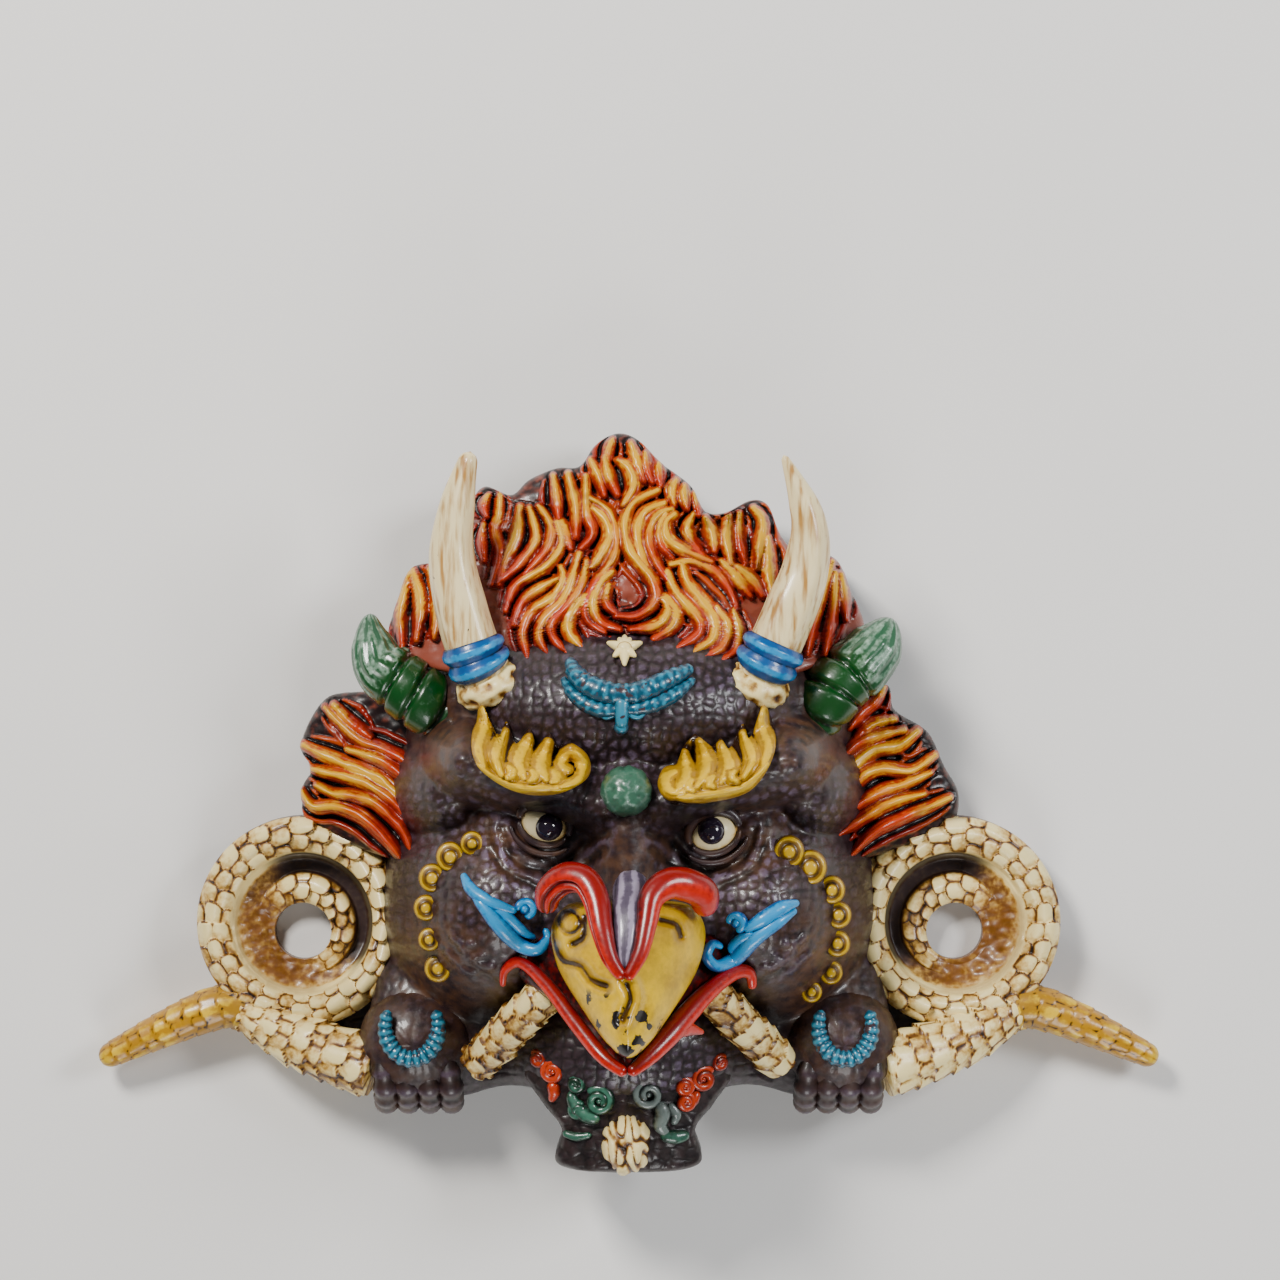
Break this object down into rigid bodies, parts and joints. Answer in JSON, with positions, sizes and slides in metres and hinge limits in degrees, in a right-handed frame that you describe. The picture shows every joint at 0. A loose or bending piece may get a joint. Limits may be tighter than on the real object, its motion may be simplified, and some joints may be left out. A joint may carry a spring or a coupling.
{
  "type": "tibetan cham mask ornament",
  "caption": "Small cast and painted cham mask of a horned garuda with a hooked beak, flame crown, side hair and a coiled snake at each ear, hollow behind, lying on its back.",
  "frame": {"origin": "middle of the bounding box, on the plane that the back rests on", "axes": "+X towards the viewer's right, +Y towards the flame crown, +Z out of the face towards the beak"},
  "size_m": [0.18, 0.122, 0.0563],
  "materials": {
    "dark_skin": "dark purple-brown paint with grey-lilac dry brushing under a satin varnish",
    "flame_orange": "orange to gold paint with dark grooves, glossy varnish",
    "ivory_paint": "ivory paint with a brown wash in the grooves, satin varnish",
    "gold_paint": "gold-yellow paint, glossy varnish",
    "beak_yellow": "yellow paint with black chips, glossy varnish",
    "lip_red": "red paint, glossy varnish",
    "sky_blue": "light blue paint, glossy varnish",
    "gloss_green": "deep green paint, paler where it is worn, glossy varnish",
    "jewel_green": "mottled grey-green paint, satin varnish",
    "eye_black": "near-black paint, high gloss",
    "bare_back": "thin dark paint, matt"
  },
  "bodies": {
    "root": {"mask": "dark_skin"}
  },
  "joints": []
}
